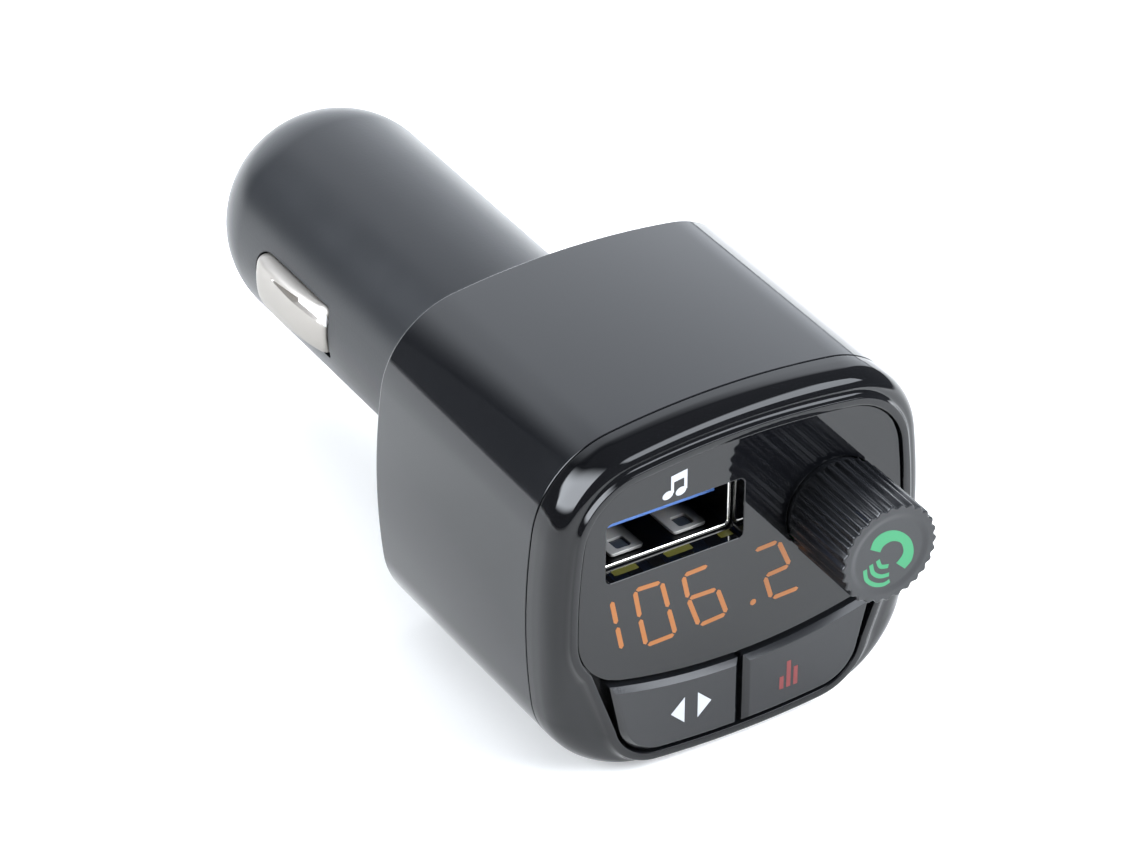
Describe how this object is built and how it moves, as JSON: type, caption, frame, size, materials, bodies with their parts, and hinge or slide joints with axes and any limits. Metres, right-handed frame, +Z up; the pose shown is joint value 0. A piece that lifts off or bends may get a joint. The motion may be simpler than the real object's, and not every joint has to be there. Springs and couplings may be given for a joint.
{
  "type": "car fm transmitter",
  "caption": "Car socket plug with a rounded-square head, display window, USB port, push keys and a fluted knob that turns and presses.",
  "frame": {"origin": "the plug's axis, in the plane of the head's rear face", "axes": "+Y along the plug towards its tip, the face looks along -Y, +Z up when the display reads upright, +X to the viewer's right at the face"},
  "size_m": [0.037, 0.0874, 0.0332],
  "materials": {
    "barrel_plastic": "fine matte",
    "sleeve_plastic": "satin gloss",
    "bezel_plastic": "high gloss",
    "lens_plastic": "smoked and polished",
    "key_plastic": "satin",
    "knob_plastic": "satin gloss",
    "nickel_contact": "soft satin nickel",
    "brass": "turned",
    "spring_steel": "drawn wire and strip",
    "bare_steel": "bright",
    "plated_shell": "tin plated",
    "usb_insulator": "moulded",
    "gold_plate": "gold plated",
    "board_laminate": "solder mask",
    "black_moulding": "moulded",
    "white_moulding": "moulded",
    "chip_epoxy": "moulded epoxy",
    "ceramic": "fired ceramic",
    "ferrite": "sintered",
    "copper_wire": "enamelled copper",
    "can_aluminium": "drawn can"
  },
  "bodies": {
    "housing": {"plug_barrel": "barrel_plastic", "head_sleeve": "sleeve_plastic", "front_bezel": "bezel_plastic", "display_lens": "lens_plastic", "encoder_bush": "brass", "spring_seat": "brass", "tip_spring": "spring_steel", "left_contact_spring": "spring_steel", "right_contact_spring": "spring_steel", "barrel_screws": "bare_steel", "front_board_screws": "bare_steel", "power_board_screws": "bare_steel", "usb_shell": "plated_shell", "wireless_shield": "plated_shell", "microphone": "plated_shell", "usb_tongue": "usb_insulator", "usb_contacts": "gold_plate", "link_pins": "gold_plate", "front_board": "board_laminate", "power_board": "board_laminate", "barrel_board": "board_laminate", "wireless_module": "board_laminate", "encoder_body": "black_moulding", "left_switch": "black_moulding", "right_switch": "black_moulding", "link_header": "black_moulding", "display_module": "white_moulding", "regulator_chip": "chip_epoxy", "radio_chip": "chip_epoxy", "input_fuse": "ceramic", "inductor_core": "ferrite", "inductor_winding": "copper_wire", "input_capacitor": "can_aluminium", "output_capacitor": "can_aluminium"},
    "knob_plunger": {"encoder_push_plate": "brass"},
    "knob": {"knob": "knob_plastic", "encoder_shaft": "bare_steel"},
    "left_key": {"left_key": "key_plastic", "left_switch_stem": "white_moulding"},
    "right_key": {"right_key": "key_plastic", "right_switch_stem": "white_moulding"},
    "tip": {"tip_contact": "brass"},
    "left_side_contact": {"left_contact": "nickel_contact"},
    "right_side_contact": {"right_contact": "nickel_contact"}
  },
  "joints": [
    {"name": "knob_press", "type": "slide", "parent": "housing", "child": "knob_plunger", "axis": [0, 1, 0], "range_m": [0, 0.0005], "stiffness_N_per_m": 4000},
    {"name": "knob_turn", "type": "hinge", "parent": "knob_plunger", "child": "knob", "pos_m": [0.00877, -0.0315, 0.0056], "axis": [0, -1, 0], "continuous": true},
    {"name": "left_key_press", "type": "slide", "parent": "housing", "child": "left_key", "axis": [0, 1, 0], "range_m": [0, 0.00035], "stiffness_N_per_m": 4000},
    {"name": "right_key_press", "type": "slide", "parent": "housing", "child": "right_key", "axis": [0, 1, 0], "range_m": [0, 0.00035], "stiffness_N_per_m": 4000},
    {"name": "tip_press", "type": "slide", "parent": "housing", "child": "tip", "axis": [0, -1, 0], "range_m": [0, 0.0014], "stiffness_N_per_m": 2500, "deforming": ["tip_spring"]},
    {"name": "left_contact_press", "type": "slide", "parent": "housing", "child": "left_side_contact", "axis": [1, 0, 0], "range_m": [0, 0.001], "stiffness_N_per_m": 2500, "deforming": ["left_contact_spring"]},
    {"name": "right_contact_press", "type": "slide", "parent": "housing", "child": "right_side_contact", "axis": [-1, 0, 0], "range_m": [0, 0.001], "stiffness_N_per_m": 2500, "deforming": ["right_contact_spring"]}
  ]
}
